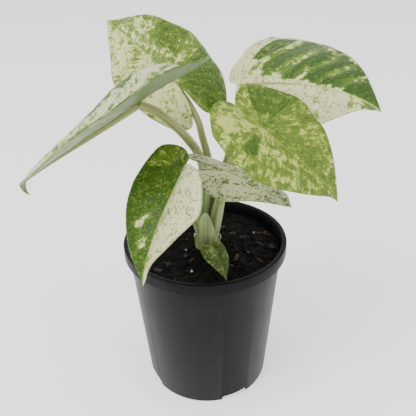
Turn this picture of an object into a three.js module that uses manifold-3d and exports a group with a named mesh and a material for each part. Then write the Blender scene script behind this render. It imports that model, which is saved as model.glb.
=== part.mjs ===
import * as THREE from 'three';
import { mergeVertices } from 'three/addons/utils/BufferGeometryUtils.js';
import Module from 'manifold-3d';

// A variegated elephant-ear plant with six heart-shaped blades in a round nursery pot.
// Millimetres and degrees, +Z up, the origin in the middle of the pot's underside.
// The pot is 140 mm across its rim, and every other size follows from the same view.

const RAD = Math.PI / 180;

// Pot
const rimRadius = 70;
const potHeight = 141;
const baseRadius = 55;
const wallTopRadius = 65.6;
const rimBandHeight = 10.3;
const rimSkin = 1.6;
const lipReach = 4;
const wallThickness = 1.4;
const floorThickness = 2;
const potSides = 48;
const notchCount = 4;
const notchFirstAngle = -64;
const notchWidth = 25;
const notchHeight = 7;
const notchReach = 9;
const notchDepth = 20;

// Soil
const soilGap = 0.3;
const soilLevel = 131;
const soilHeave = 1.6;
const soilRings = 7;
const soilCrown = 2;
const soilEdgeDepth = 4;

// Stem and leaf stalks
const stemX = 2;
const cormRadius = 10.2;
const cormBottom = 106;
const cormTop = 137;
const fitGap = 0.4;
const stalkSides = 10;
const stalkRingPitch = 9;
const stalkTopTaper = 0.5;
const stalkDrop = 2.4;
const joinGap = 0.3;
// The share of each stalk that is still part of the clasping sheaths of the stem
const sheathShare = { a: 0.5, b: 0.49, c: 0.47, d: 0.45, e: 0.35, f: 0.56 };
const sheathSwell = 0.3;
const swellHeight = 40;
const swellSpread = 17;

// Blades
const bladeThickness = 0.9;
const ribDepth = 1.3;
const stationCount = 30;
const spanCount = 5;
const veinLean = 0.35;
const notchPoints = 3;
const bumpOnset = 4;
const youngStationCount = 14;
const youngSpanCount = 3;

// The outline of half a heart-shaped blade, from the notch at the stalk round to the tip.
// The first number runs in lobe lengths behind the stalk and in blade lengths before it.
// The second is the distance from the midrib in half widths.
const outlinePoints = [
  [0, 0], [-0.35, 0.035], [-0.78, 0.11], [-1, 0.33], [-0.86, 0.62], [-0.45, 0.88], [0, 0.985],
  [0.2, 1], [0.42, 0.87], [0.68, 0.5], [0.88, 0.16], [0.96, 0.045], [1, 0],
];

// Each leaf: base is where the stalk meets the blade. Heading is the midrib's direction in
// plan and pitch its rise, which bend lowers towards the tip and sweep turns sideways.
// Roll and twist turn the blade round the midrib. For the left and right half, width is
// the half width, lobe the lobe's length, fold the rise of the half beside the midrib,
// cup the further rise at the margin and droop how far the lobe bends down. Opens is the
// share of the fold that is gone at the tip, and sinus widens the notch at the stalk. The
// tip curls by curl from curlFrom on. Waves is the count, height and phase of the margin's
// waves. A bump has its side, station, spread, lift and the distance that it stands out.
const leaves = {
  a: {
    base: [-22.9, 42, 265.4], heading: 141.7, pitch: 33.5, bend: 9.8, sweep: 1.5,
    roll: -14.9, twist: -33.1, length: 82.8, width: [41.8, 48.4], lobe: [40.6, 43.1],
    fold: [1.4, 21.4], opens: 0, cup: [-12, -51.2], droop: [38.2, 32.2],
    curl: -3.2, curlFrom: 0.84, sinus: 1, waves: [4, 0.8, 0.1], stalk: [2.4, 4.4],
    route: [
      [1, 4, 120], [1, 4, 137], [3, 7, 160], [5.6, 14, 184.5],
      [4.2, 19, 204.6], [-0.4, 20, 225], [-3.8, 29, 235.8], [-12, 39, 248.9],
    ],
    bumps: [
      [-1, 0.86, 0.07, 0, 3.5], [-1, 0.25, 0.06, 0, -3], [1, 0.83, 0.03, 0.8, -1.5],
      [1, 0.75, 0.03, -0.8, 2.5], [1, 0.685, 0.03, 0.8, -2.5], [1, 0.63, 0.03, -0.6, 3],
      [1, 0.45, 0.05, 0, 2],
    ],
  },
  b: {
    base: [-43.2, -44.3, 275.6], heading: 201.2, pitch: -28.4, bend: 11.1, sweep: -44,
    roll: -9.2, twist: -4.7, length: 115.5, width: [36.4, 48.5], lobe: [55.3, 42.7],
    fold: [38.6, 30.5], opens: 0.7, cup: [7.7, -77.7], droop: [13, 34.9],
    curl: 133.6, curlFrom: 0.86, sinus: 1, waves: [5, 0.8, 1.3], stalk: [2.9, 4.6],
    route: [
      [-2.5, 1, 120], [-2.5, 1, 137], [-1, 3.5, 162], [1, 8, 189.1],
      [-3, 12, 211], [-12, -3, 233.1], [-20, -17, 248.6], [-32, -33, 266],
    ],
    bumps: [],
  },
  c: {
    base: [29.7, 12.9, 269.6], heading: -33.7, pitch: 13.2, bend: 24.5, sweep: -18.5,
    roll: 50.3, twist: -21.3, length: 118.6, width: [61.4, 46.4], lobe: [15.9, 5],
    fold: [-3.1, -17.7], opens: -0.35, cup: [-44.8, -17.4], droop: [23.6, 8.1],
    curl: 13.6, curlFrom: 0.84, sinus: 1, waves: [6, 1.0, 0.4], stalk: [2.9, 4.8],
    route: [
      [5.5, 3, 120], [5.5, 3, 137], [9, 8, 160], [14, 14, 184],
      [22, 20, 209], [31, 24, 234], [35, 20, 254],
    ],
    bumps: [
      [-1, 0.31, 0.015, 0, 2], [-1, 0.36, 0.025, 0.8, -5], [-1, 0.505, 0.02, 0, 4],
      [-1, 0.535, 0.012, 1.2, -5], [-1, 0.565, 0.015, -0.8, 1.5], [-1, 0.6, 0.015, 1, -2.5],
      [-1, 0.64, 0.02, -1, 2.5], [-1, 0.685, 0.015, 1, -3], [-1, 0.2, 0.05, 0, -3],
    ],
  },
  d: {
    base: [37.8, -64, 264.3], heading: -33.5, pitch: -29, bend: 16.5, sweep: 12.6,
    roll: 1.4, twist: 15.2, length: 70.4, width: [41.4, 41.1], lobe: [29.7, 29.7],
    fold: [15.1, 9.8], opens: 0.01, cup: [-2.3, -28.8], droop: [-8.9, -8.9],
    curl: 21.6, curlFrom: 0.84, sinus: 0.35, waves: [4, 0.8, 2.2], stalk: [2.7, 4.4],
    route: [
      [6.5, -1, 120], [6.5, -1, 137], [10, 1.5, 160], [15, 4, 182],
      [20.3, 3, 200], [26, -3, 219], [32, -17, 236], [38, -42, 253],
    ],
    bumps: [
      [-1, 0.62, 0.04, -0.6, -2], [1, 0.42, 0.03, 0.5, 1.5], [1, 0.72, 0.1, 0, 2],
      [-1, 0.5, 0.03, 0.7, 0], [1, 0.58, 0.03, 0.7, -1],
    ],
  },
  e: {
    base: [-12.5, -50, 230.6], heading: -141.2, pitch: -52, bend: -35, sweep: 49.8,
    roll: 33.8, twist: -8.1, length: 91.1, width: [47.3, 33.9], lobe: [3.2, 8.3],
    fold: [6.6, 19.8], opens: -0.61, cup: [-24.9, 40.3], droop: [6.4, 31.3],
    curl: 31.2, curlFrom: 0.84, sinus: 1, waves: [4, 0.7, 1.0], stalk: [2.5, 4.4],
    route: [
      [-1, -3.5, 120], [-1, -3.5, 137], [-3.5, -8, 153],
      [-7.5, -15, 172], [-11, -26, 192], [-12, -37, 210],
    ],
    bumps: [
      [-1, 0.84, 0.07, 0, -5], [-1, 0.72, 0.05, 0.5, -1.5], [1, 0.7, 0.06, 0.4, -1.5],
      [1, 0.6, 0.02, -0.5, 1],
    ],
  },
  f: {
    base: [18.4, -36, 219.2], heading: -33.4, pitch: -9.4, bend: -8, sweep: -26.2,
    roll: -2.9, twist: -3.2, length: 60.6, width: [26.4, 34.4], lobe: [42, 18],
    fold: [3.5, -1.5], opens: -0.01, cup: [-43, -2.3], droop: [12.5, 5.4],
    curl: 1.2, curlFrom: 0.84, sinus: 0.25, waves: [4, 0.8, 0.6], stalk: [2.8, 4.6],
    route: [
      [4.5, -4, 120], [4.5, -4, 137], [8.5, -5, 156],
      [11, -8, 173], [14, -14, 190], [16.5, -26, 205],
    ],
    bumps: [
      [-1, 0.6, 0.04, 0.6, -1], [1, 0.68, 0.05, -0.6, 1],
    ],
  },
};

const youngLeaf = {
  base: [6, -27, 147.5], heading: -68, pitch: -14, bend: 8, sweep: -8,
  roll: 0, twist: 0, length: 35, width: [9.5, 11], lobe: [5, 5],
  fold: [12, 12], opens: 0, cup: [-25, -25], droop: [0, 0], curl: 0, curlFrom: 0.84,
  sinus: 1, waves: [3, 0.4, 6], stalk: [1.2, 2], bumps: [],
  route: [[5, -16, 118], [5, -16.5, 134], [5.3, -19, 142]],
};

const wasm = await Module();
wasm.setup();

function solidOf(geometry) {
  const bare = geometry.index ? geometry.toNonIndexed() : geometry.clone();
  bare.deleteAttribute('normal');
  bare.deleteAttribute('uv');
  const merged = mergeVertices(bare, 1e-4);
  return new wasm.Manifold(new wasm.Mesh({
    numProp: 3,
    vertProperties: new Float32Array(merged.attributes.position.array),
    triVerts: new Uint32Array(merged.index.array),
  }));
}

function geometryOf(solid) {
  const mesh = solid.getMesh();
  const geometry = new THREE.BufferGeometry();
  geometry.setAttribute('position', new THREE.BufferAttribute(mesh.vertProperties, 3));
  geometry.setIndex(new THREE.BufferAttribute(mesh.triVerts, 1));
  return geometry;
}

// Pot: a turned shell with a hanging rim band, and arched drain notches round its foot
function lathe(profile) {
  const points = profile.map(([radius, height]) => new THREE.Vector2(radius, height));
  return new THREE.LatheGeometry(points, potSides).rotateX(90 * RAD);
}

function innerRadiusAt(height) {
  const rise = (height - floorThickness) / (potHeight - rimBandHeight - floorThickness);
  const foot = baseRadius - wallThickness;
  return foot + (wallTopRadius - wallThickness - foot) * rise;
}

function makePot() {
  const bandFoot = potHeight - rimBandHeight;
  const skirtRadius = rimRadius - rimSkin;
  const lipRadius = rimRadius - lipReach;
  const shell = solidOf(lathe([
    [0, 0],
    [baseRadius - 1, 0],
    [baseRadius, 1],
    [wallTopRadius, bandFoot],
    [wallTopRadius + 0.8, potHeight - rimSkin],
    [skirtRadius, potHeight - rimSkin],
    [skirtRadius, bandFoot],
    [rimRadius, bandFoot],
    [rimRadius, potHeight - 0.8],
    [rimRadius - 0.8, potHeight],
    [lipRadius + 0.6, potHeight],
    [lipRadius - 0.6, potHeight - 1.2],
    [innerRadiusAt(bandFoot), bandFoot],
    [innerRadiusAt(floorThickness), floorThickness],
    [0, floorThickness],
  ]));
  const arch = new THREE.Shape();
  arch.moveTo(-notchWidth / 2, -1);
  arch.lineTo(notchWidth / 2, -1);
  arch.lineTo(notchWidth / 2, notchHeight / 3);
  arch.quadraticCurveTo(notchWidth / 2 - 2, notchHeight, 0, notchHeight);
  arch.quadraticCurveTo(-notchWidth / 2 + 2, notchHeight, -notchWidth / 2, notchHeight / 3);
  let pot = shell;
  for (let i = 0; i < notchCount; i += 1) {
    const cutter = new THREE.ExtrudeGeometry(arch, {
      depth: notchDepth, bevelEnabled: false, curveSegments: 4,
    });
    cutter.rotateX(90 * RAD);
    cutter.translate(0, -(baseRadius - notchReach), 0);
    cutter.rotateZ((notchFirstAngle + (360 / notchCount) * i) * RAD);
    pot = pot.subtract(solidOf(cutter));
  }
  return geometryOf(pot);
}

// Soil: a plug that fills the pot to a heaved surface, with a plain hole for each stem
function soilHeight(x, y) {
  const swell = Math.sin(x * 0.13 + 0.6) * Math.cos(y * 0.11 - 0.4);
  const crumb = Math.sin(x * 0.31 - y * 0.23) * Math.sin(y * 0.37 + x * 0.12 + 1);
  const edge = Math.hypot(x, y) / innerRadiusAt(soilLevel);
  return soilLevel + soilHeave * (0.5 * swell + 0.5 * crumb) + soilCrown * (1 - edge * edge);
}

function plainHole(x, y, radius, bottom) {
  const top = soilLevel + 20;
  const plug = new THREE.CylinderGeometry(radius, radius, top - bottom, 24);
  plug.rotateX(90 * RAD);
  plug.translate(x, y, (top + bottom) / 2);
  return solidOf(plug);
}

function makeSoil() {
  const edge = innerRadiusAt(soilLevel - soilEdgeDepth) - soilGap;
  const bottom = floorThickness + soilGap;
  const profile = [[0, bottom], [innerRadiusAt(bottom) - soilGap, bottom]];
  for (let i = 0; i <= soilRings; i += 1) profile.push([edge * (1 - i / soilRings), soilLevel]);
  const geometry = lathe(profile);
  const position = geometry.attributes.position;
  for (let i = 0; i < position.count; i += 1) {
    if (position.getZ(i) > soilLevel - 1) {
      position.setZ(i, soilHeight(position.getX(i), position.getY(i)));
    }
  }
  const [youngX, youngY] = youngLeaf.route[0];
  const cormHole = plainHole(stemX, 0, cormRadius + fitGap, cormBottom - fitGap);
  const youngHole = plainHole(youngX, youngY, youngLeaf.stalk[1] + fitGap, youngLeaf.route[0][2] - fitGap);
  return geometryOf(solidOf(geometry).subtract(cormHole).subtract(youngHole));
}

// Blade: its midrib's frame at each station, then the point for a place on the flat leaf
function midribFrames(leaf) {
  const steps = 60;
  const middle = new THREE.Vector3(...leaf.base);
  const frames = [];
  for (let i = 0; i <= steps; i += 1) {
    const u = i / steps;
    const tipShare = Math.max(0, (u - leaf.curlFrom) / (1 - leaf.curlFrom));
    const heading = (leaf.heading + leaf.sweep * u) * RAD;
    const pitch = (leaf.pitch - leaf.bend * u ** 1.4 - leaf.curl * tipShare ** 1.5) * RAD;
    const roll = (leaf.roll + leaf.twist * u) * RAD;
    const along = new THREE.Vector3(
      Math.cos(pitch) * Math.cos(heading),
      Math.cos(pitch) * Math.sin(heading),
      Math.sin(pitch),
    );
    const level = new THREE.Vector3(Math.sin(heading), -Math.cos(heading), 0);
    const above = level.clone().cross(along);
    const right = level.clone().multiplyScalar(Math.cos(roll)).addScaledVector(above, -Math.sin(roll));
    const normal = above.clone().multiplyScalar(Math.cos(roll)).addScaledVector(level, Math.sin(roll));
    if (i > 0) middle.addScaledVector(along.clone().add(frames[i - 1].along), leaf.length / steps / 2);
    frames.push({ middle: middle.clone(), along, right, normal });
  }
  return frames;
}

function mixedFrame(leaf, frames, a) {
  const place = THREE.MathUtils.clamp(a / leaf.length, 0, 1) * (frames.length - 1);
  const low = Math.min(Math.floor(place), frames.length - 2);
  const mix = (key) => frames[low][key].clone().lerp(frames[low + 1][key], place - low);
  return { middle: mix('middle'), along: mix('along'), right: mix('right'), normal: mix('normal') };
}

function outlineOf(leaf) {
  return new THREE.SplineCurve(outlinePoints.map(([along, out], i) => (
    new THREE.Vector2(along, i < notchPoints ? out * leaf.sinus : out))));
}

// The lift of the margin off the blade and its distance beyond the plain outline
function marginBump(leaf, side, station) {
  const [count, height, phase] = leaf.waves;
  const wave = Math.sin(2 * Math.PI * count * station + side + phase) * Math.sin(Math.PI * station);
  const bump = { lift: height * wave, out: 0 };
  for (const [bumpSide, middle, spread, lift, out] of leaf.bumps) {
    const nearness = bumpSide === side ? Math.exp(-(((station - middle) / spread) ** 2)) : 0;
    bump.lift += lift * nearness;
    bump.out += out * nearness;
  }
  return bump;
}

function bladePoint(leaf, frames, side, a, b) {
  const half = side < 0 ? 0 : 1;
  const { middle, along, right, normal } = mixedFrame(leaf, frames, Math.max(a, 0));
  const behind = Math.max(-a, 0);
  const droop = (Math.abs(leaf.droop[half]) < 0.1 ? 0.1 : leaf.droop[half]) * RAD / leaf.lobe[half];
  const turn = droop * behind;
  middle.addScaledVector(along, -Math.sin(turn) / droop);
  middle.addScaledVector(normal, -(1 - Math.cos(turn)) / droop);
  const lift = normal.clone().multiplyScalar(Math.cos(turn)).addScaledVector(along, -Math.sin(turn));
  const opened = 1 - leaf.opens * THREE.MathUtils.clamp(a / leaf.length, 0, 1);
  const fold = leaf.fold[half] * opened * RAD;
  const cup = (Math.abs(leaf.cup[half]) < 0.1 ? 0.1 : leaf.cup[half]) * RAD / leaf.width[half];
  middle.addScaledVector(right, side * (Math.sin(fold + cup * b) - Math.sin(fold)) / cup);
  middle.addScaledVector(lift, -(Math.cos(fold + cup * b) - Math.cos(fold)) / cup);
  return middle;
}

// The blade is a fan of veins from the midrib to the margin. Station i runs along the
// outline and span j out from the midrib, and both faces are split into triangles alike.
function bladeGeometry(leaf, thickness, stations, spans) {
  const frames = midribFrames(leaf);
  const outline = outlineOf(leaf);
  const points = [];
  const ribs = [];
  const names = new Map();
  const meanWidth = (leaf.width[0] + leaf.width[1]) / 2;
  const vertexAt = (side, i, j) => {
    const half = side < 0 ? 0 : 1;
    const station = i / stations;
    const { x: along, y: out } = outline.getPoint(station);
    const footOnRib = Math.max(0, along * leaf.length - veinLean * out * meanWidth);
    const atStalk = i === 0 || (j === 0 && footOnRib === 0);
    let name = `${side} ${i} ${j}`;
    if (j === 0) name = `rib ${i}`;
    if (atStalk) name = 'stalk';
    if (i === stations) name = 'tip';
    if (names.has(name)) return names.get(name);
    const share = j / spans;
    const foot = atStalk ? 0 : footOnRib;
    const reach = along < 0 ? along * leaf.lobe[half] : along * leaf.length;
    const a = i === stations ? leaf.length : foot + (reach - foot) * share;
    const bump = marginBump(leaf, side, station);
    const onRib = atStalk || i === stations;
    const reached = out * leaf.width[half] + bump.out * Math.min(1, out * bumpOnset);
    const b = onRib ? 0 : Math.max(0, reached) * share;
    const point = bladePoint(leaf, frames, side, a, b);
    const { normal } = mixedFrame(leaf, frames, Math.max(a, 0));
    point.addScaledVector(normal, onRib ? 0 : bump.lift * share * share);
    points.push(point);
    ribs.push(j === 0 || atStalk ? 1 - 0.85 * (a / leaf.length) : 0);
    names.set(name, points.length - 1);
    return points.length - 1;
  };
  const faces = [];
  const addFace = (p, q, r) => {
    if (p !== q && q !== r && r !== p) faces.push([p, q, r]);
  };
  for (const side of [-1, 1]) {
    for (let i = 0; i < stations; i += 1) {
      for (let j = 0; j < spans; j += 1) {
        const corners = [vertexAt(side, i, j), vertexAt(side, i + 1, j),
          vertexAt(side, i + 1, j + 1), vertexAt(side, i, j + 1)];
        if (side > 0) corners.reverse();
        addFace(corners[0], corners[2], corners[1]);
        addFace(corners[0], corners[3], corners[2]);
      }
    }
  }
  return thickSheet(points, faces, thickness, ribs);
}

// A sheet of triangles given two faces: the lower one stands out further along the ribs
function thickSheet(points, faces, thickness, ribs) {
  const normals = points.map(() => new THREE.Vector3());
  const edges = new Map();
  for (const [p, q, r] of faces) {
    const across = points[q].clone().sub(points[p]).cross(points[r].clone().sub(points[p]));
    for (const corner of [p, q, r]) normals[corner].add(across);
    for (const [from, to] of [[p, q], [q, r], [r, p]]) edges.set(`${from} ${to}`, [from, to]);
  }
  const count = points.length;
  const vertices = [];
  for (const face of [0.5, -0.5]) {
    points.forEach((point, i) => {
      const depth = face < 0 ? ribDepth * ribs[i] : 0;
      const place = point.clone().addScaledVector(normals[i].normalize(), face * thickness - depth);
      vertices.push(place.x, place.y, place.z);
    });
  }
  const triangles = [];
  for (const [p, q, r] of faces) {
    triangles.push(p, q, r);
    triangles.push(p + count, r + count, q + count);
  }
  for (const [from, to] of edges.values()) {
    if (!edges.has(`${to} ${from}`)) {
      triangles.push(from, from + count, to + count);
      triangles.push(from, to + count, to);
    }
  }
  const geometry = new THREE.BufferGeometry();
  geometry.setAttribute('position', new THREE.Float32BufferAttribute(vertices, 3));
  geometry.setIndex(triangles);
  return geometry;
}

// Stalk: a round tube that narrows from the corm up to its blade
function stalkCurve(leaf) {
  const { normal } = midribFrames(leaf)[0];
  const top = new THREE.Vector3(...leaf.base).addScaledVector(normal, -stalkDrop);
  return new THREE.CatmullRomCurve3([...leaf.route.map((p) => new THREE.Vector3(...p)), top]);
}

function stalkGeometry(leaf, from, to) {
  const curve = stalkCurve(leaf);
  const [topRadius, footRadius] = leaf.stalk;
  const rings = Math.max(3, Math.round((to - from) * curve.getLength() / stalkRingPitch));
  const vertices = [];
  const triangles = [];
  for (let i = 0; i <= rings; i += 1) {
    const share = from + (to - from) * (i / rings);
    const centre = curve.getPointAt(share);
    const along = curve.getTangentAt(share);
    const level = new THREE.Vector3(0, 1, 0).cross(along).normalize();
    const across = along.clone().cross(level);
    const narrowed = share === 1 ? stalkTopTaper : 1;
    const fromSwell = (share * curve.getLength() - swellHeight) / swellSpread;
    const swollen = 1 + sheathSwell * Math.exp(-(fromSwell ** 2));
    const radius = narrowed * swollen * (footRadius + (topRadius - footRadius) * share);
    for (let k = 0; k < stalkSides; k += 1) {
      const turn = 2 * Math.PI * k / stalkSides;
      const place = centre.clone().addScaledVector(level, radius * Math.cos(turn));
      place.addScaledVector(across, radius * Math.sin(turn));
      vertices.push(place.x, place.y, place.z);
    }
  }
  for (let i = 0; i < rings; i += 1) {
    for (let k = 0; k < stalkSides; k += 1) {
      const low = i * stalkSides;
      const next = (k + 1) % stalkSides;
      triangles.push(low + k, low + next, low + stalkSides + next);
      triangles.push(low + k, low + stalkSides + next, low + stalkSides + k);
    }
  }
  for (let k = 1; k < stalkSides - 1; k += 1) {
    const last = rings * stalkSides;
    triangles.push(0, k + 1, k);
    triangles.push(last, last + k, last + k + 1);
  }
  const geometry = new THREE.BufferGeometry();
  geometry.setAttribute('position', new THREE.Float32BufferAttribute(vertices, 3));
  geometry.setIndex(triangles);
  return geometry;
}

function makeStem(splits) {
  const corm = new THREE.CylinderGeometry(cormRadius - 0.8, cormRadius, cormTop - cormBottom, 24);
  corm.rotateX(90 * RAD);
  corm.translate(stemX, 0, (cormTop + cormBottom) / 2);
  let stem = solidOf(corm);
  for (const [name, leaf] of Object.entries(leaves)) {
    stem = stem.add(solidOf(stalkGeometry(leaf, 0, splits[name])));
  }
  return geometryOf(stem);
}

const group = new THREE.Group();

function addPiece(name, geometry, color, roughness) {
  const material = new THREE.MeshStandardMaterial({ color, roughness, metalness: 0 });
  const mesh = new THREE.Mesh(geometry, material);
  mesh.name = name;
  group.add(mesh);
}

addPiece('pot', makePot(), 0x3c3f48, 0.45);
addPiece('soil', makeSoil(), 0x2b2320, 0.95);
addPiece('stem', makeStem(sheathShare), 0xa9b77a, 0.5);
for (const [name, leaf] of Object.entries(leaves)) {
  const from = sheathShare[name] + joinGap / stalkCurve(leaf).getLength();
  addPiece(`stalk_${name}`, stalkGeometry(leaf, from, 1), 0x9ba76a, 0.5);
  addPiece(`blade_${name}`, bladeGeometry(leaf, bladeThickness, stationCount, spanCount), 0xb9c08a, 0.45);
}
const youngBlade = bladeGeometry(youngLeaf, bladeThickness, youngStationCount, youngSpanCount);
addPiece('young_stalk', stalkGeometry(youngLeaf, 0, 1), 0x9ba76a, 0.5);
addPiece('young_blade', youngBlade, 0x8aa860, 0.45);

export default group;
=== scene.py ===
import math
import random

import bmesh
import bpy
from mathutils import Matrix, Vector, noise


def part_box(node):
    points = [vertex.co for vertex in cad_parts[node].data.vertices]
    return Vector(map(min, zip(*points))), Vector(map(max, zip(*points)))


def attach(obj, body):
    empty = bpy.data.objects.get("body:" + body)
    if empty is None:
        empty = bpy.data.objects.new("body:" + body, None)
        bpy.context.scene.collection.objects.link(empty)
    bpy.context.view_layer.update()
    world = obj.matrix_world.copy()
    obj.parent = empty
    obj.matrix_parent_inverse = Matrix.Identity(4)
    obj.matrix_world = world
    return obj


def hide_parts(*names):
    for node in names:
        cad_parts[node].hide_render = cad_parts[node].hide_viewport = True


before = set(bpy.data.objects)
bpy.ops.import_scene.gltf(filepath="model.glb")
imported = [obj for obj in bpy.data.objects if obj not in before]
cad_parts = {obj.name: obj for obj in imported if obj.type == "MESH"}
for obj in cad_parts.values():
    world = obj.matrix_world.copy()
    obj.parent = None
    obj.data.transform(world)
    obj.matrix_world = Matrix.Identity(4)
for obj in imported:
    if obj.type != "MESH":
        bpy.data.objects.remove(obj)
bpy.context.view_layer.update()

# Camera, floor and light.
# The plant stands on a plain white sweep, seen from a little above, in the soft and even
# light of a studio with a large lamp high on the left and the bright room all round.
CAMERA_PLACE = (0.0031, -0.4020, 0.3946)
CAMERA_DIP = 29.3
CAMERA_ROLL = -1.21
CAMERA_LENS = 47.6

camera = bpy.data.objects.new("camera", bpy.data.cameras.new("camera"))
camera.data.lens = CAMERA_LENS
camera.location = CAMERA_PLACE
dip = Matrix.Rotation(math.radians(90 - CAMERA_DIP), 4, "X")
camera.rotation_euler = (dip @ Matrix.Rotation(math.radians(CAMERA_ROLL), 4, "Z")).to_euler()
bpy.context.scene.collection.objects.link(camera)
bpy.context.scene.camera = camera


class Wire:
    """A socket of a finish, whose arithmetic adds Math nodes."""

    def __init__(self, finish, socket):
        self.finish = finish
        self.socket = socket

    def math(self, operation, *others):
        return self.finish.make("ShaderNodeMath", {"operation": operation}, dict(enumerate((self, *others))))

    def __add__(self, other):
        return self.math("ADD", other)

    def __sub__(self, other):
        return self.math("SUBTRACT", other)

    def __mul__(self, other):
        return self.math("MULTIPLY", other)

    def __rsub__(self, other):
        return self.finish.make("ShaderNodeMath", {"operation": "SUBTRACT"}, {0: other, 1: self})

    def ease(self, low, high):
        """0 below low, 1 above high, and smooth between them."""
        settings = {"interpolation_type": "SMOOTHSTEP"}
        sockets = {"Value": self, "From Min": low, "From Max": high}
        return self.finish.make("ShaderNodeMapRange", settings, sockets)


class Finish:
    """A material with a Principled shader, and the nodes that feed it."""

    def __init__(self, name, roughness=0.5, **constants):
        self.material = bpy.data.materials.new(name)
        self.material.use_nodes = True
        self.nodes = self.material.node_tree.nodes
        self.shader = self.nodes["Principled BSDF"]
        self.shader.inputs["Roughness"].default_value = roughness
        for socket, value in constants.items():
            self.shader.inputs[socket.replace("_", " ")].default_value = value

    def feed(self, target, value):
        if isinstance(value, Wire):
            self.material.node_tree.links.new(value.socket, target)
        else:
            target.default_value = value

    def make(self, kind, settings=None, sockets=None, output=0):
        """A node of that kind: its settings first, then its sockets' values or wires."""
        node = self.nodes.new(kind)
        for setting, value in (settings or {}).items():
            if setting == "stops":
                ramp = node.color_ramp.elements
                while len(ramp) < len(value):
                    ramp.new(1)
                for stop, (place, color) in zip(ramp, value):
                    stop.position = place
                    stop.color = (*color, 1)
            else:
                setattr(node, setting, value)
        for socket, value in (sockets or {}).items():
            self.feed(node.inputs[socket], value)
        return Wire(self, node.outputs[output])

    def mix(self, share, first, second):
        colors = [c if isinstance(c, Wire) else (*c, 1) for c in (first, second)]
        sockets = {0: share, 6: colors[0], 7: colors[1]}
        return self.make("ShaderNodeMix", {"data_type": "RGBA"}, sockets, output=2)

    def spots(self, place, scale, detail=2, roughness=0.5, distortion=0):
        sockets = {"Vector": place, "Scale": scale, "Detail": detail}
        sockets.update({"Roughness": roughness, "Distortion": distortion})
        return self.make("ShaderNodeTexNoise", None, sockets)

    def stretched(self, place, scale):
        return self.make("ShaderNodeMapping", None, {"Vector": place, "Scale": scale})

    def object_place(self):
        return self.make("ShaderNodeTexCoord", output="Object")

    def relief(self, height, strength, distance):
        sockets = {"Height": height, "Strength": strength, "Distance": distance}
        self.feed(self.shader.inputs["Normal"], self.make("ShaderNodeBump", None, sockets))


def color(red, green, blue):
    """A colour given in the 0 to 255 of a screen, as the shader wants it."""
    def linear(part):
        share = part / 255
        return share / 12.92 if share <= 0.04045 else ((share + 0.055) / 1.055) ** 2.4
    return (linear(red), linear(green), linear(blue))


FLOOR_WIDTH = 12.0
FLOOR_COLOR = color(250, 250, 250)
FLOOR_GLOW = 0.6
ROOM_LIGHT = 1.15
LAMP_AIM = (0, 0, 0.2)

sweep = bmesh.new()
bmesh.ops.create_grid(sweep, x_segments=1, y_segments=1, size=FLOOR_WIDTH / 2)
floor_mesh = bpy.data.meshes.new("floor")
sweep.to_mesh(floor_mesh)
sweep.free()
floor = bpy.data.objects.new("floor", floor_mesh)
bpy.context.scene.collection.objects.link(floor)
paper = Finish("white paper", roughness=0.9)
paper.feed(paper.shader.inputs["Base Color"], (*FLOOR_COLOR, 1))
paper.feed(paper.shader.inputs["Emission Color"], (1, 1, 1, 1))
paper.feed(paper.shader.inputs["Emission Strength"], FLOOR_GLOW)
floor_mesh.materials.append(paper.material)

room = bpy.data.worlds.new("bright room")
room.use_nodes = True
room.node_tree.nodes["Background"].inputs["Color"].default_value = (1, 1, 1, 1)
room.node_tree.nodes["Background"].inputs["Strength"].default_value = ROOM_LIGHT
bpy.context.scene.world = room

LAMPS = {
    "key_lamp": {"place": (-0.9, -0.7, 1.5), "size": 0.9, "power": 22},
    "fill_lamp": {"place": (1.1, -0.6, 0.9), "size": 1.0, "power": 5},
}
for lamp_name, lamp in LAMPS.items():
    light = bpy.data.lights.new(lamp_name, "AREA")
    light.size = lamp["size"]
    light.energy = lamp["power"]
    light_object = bpy.data.objects.new(lamp_name, light)
    light_object.location = lamp["place"]
    aim = Vector(LAMP_AIM) - Vector(lamp["place"])
    light_object.rotation_euler = aim.to_track_quat("-Z", "Y").to_euler()
    bpy.context.scene.collection.objects.link(light_object)


# Pot.
# A thin nursery pot moulded in black plastic, with a band that hangs from its rim and four
# arched drain notches at its foot. It is satin, with a little dust and a few fine scratches.
RIM_RADIUS = 0.070
POT_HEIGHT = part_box("pot")[1][2]
BAND_HEIGHT = 0.0103
BASE_RADIUS = 0.055
WALL_TOP_RADIUS = 0.0656
WALL = 0.0014
FLOOR_THICKNESS = 0.002
NOTCH_ANGLES = (-64, 26, 116, 206)
NOTCH_SIZE = (0.025, 0.009, 0.007)
NOTCH_DEPTH = 0.02
POT_STEPS = 160
SHARP_ANGLE = 32


def finished(shape, name, materials, smooth=True):
    """The object of a finished bmesh, linked to the scene, with its materials."""
    mesh = bpy.data.meshes.new(name)
    shape.to_mesh(mesh)
    shape.free()
    for material in materials:
        mesh.materials.append(material)
    mesh.shade_smooth() if smooth else mesh.shade_flat()
    piece = bpy.data.objects.new(name, mesh)
    bpy.context.scene.collection.objects.link(piece)
    return piece


def turned(profile, steps):
    """A bmesh of a profile of radii and heights, turned round the Z axis."""
    shape = bmesh.new()
    corners = [shape.verts.new((radius, 0, height)) for radius, height in profile]
    edges = [shape.edges.new(pair) for pair in zip(corners, corners[1:])]
    bmesh.ops.spin(shape, geom=corners + edges, cent=(0, 0, 0), axis=(0, 0, 1),
                   angle=2 * math.pi, steps=steps, use_merge=True)
    bmesh.ops.remove_doubles(shape, verts=shape.verts, dist=1e-6)
    bmesh.ops.recalc_face_normals(shape, faces=shape.faces)
    return shape


def inner_radius(height):
    rise = (height - FLOOR_THICKNESS) / (POT_HEIGHT - BAND_HEIGHT - FLOOR_THICKNESS)
    return BASE_RADIUS - WALL + (WALL_TOP_RADIUS - BASE_RADIUS) * rise


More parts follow.
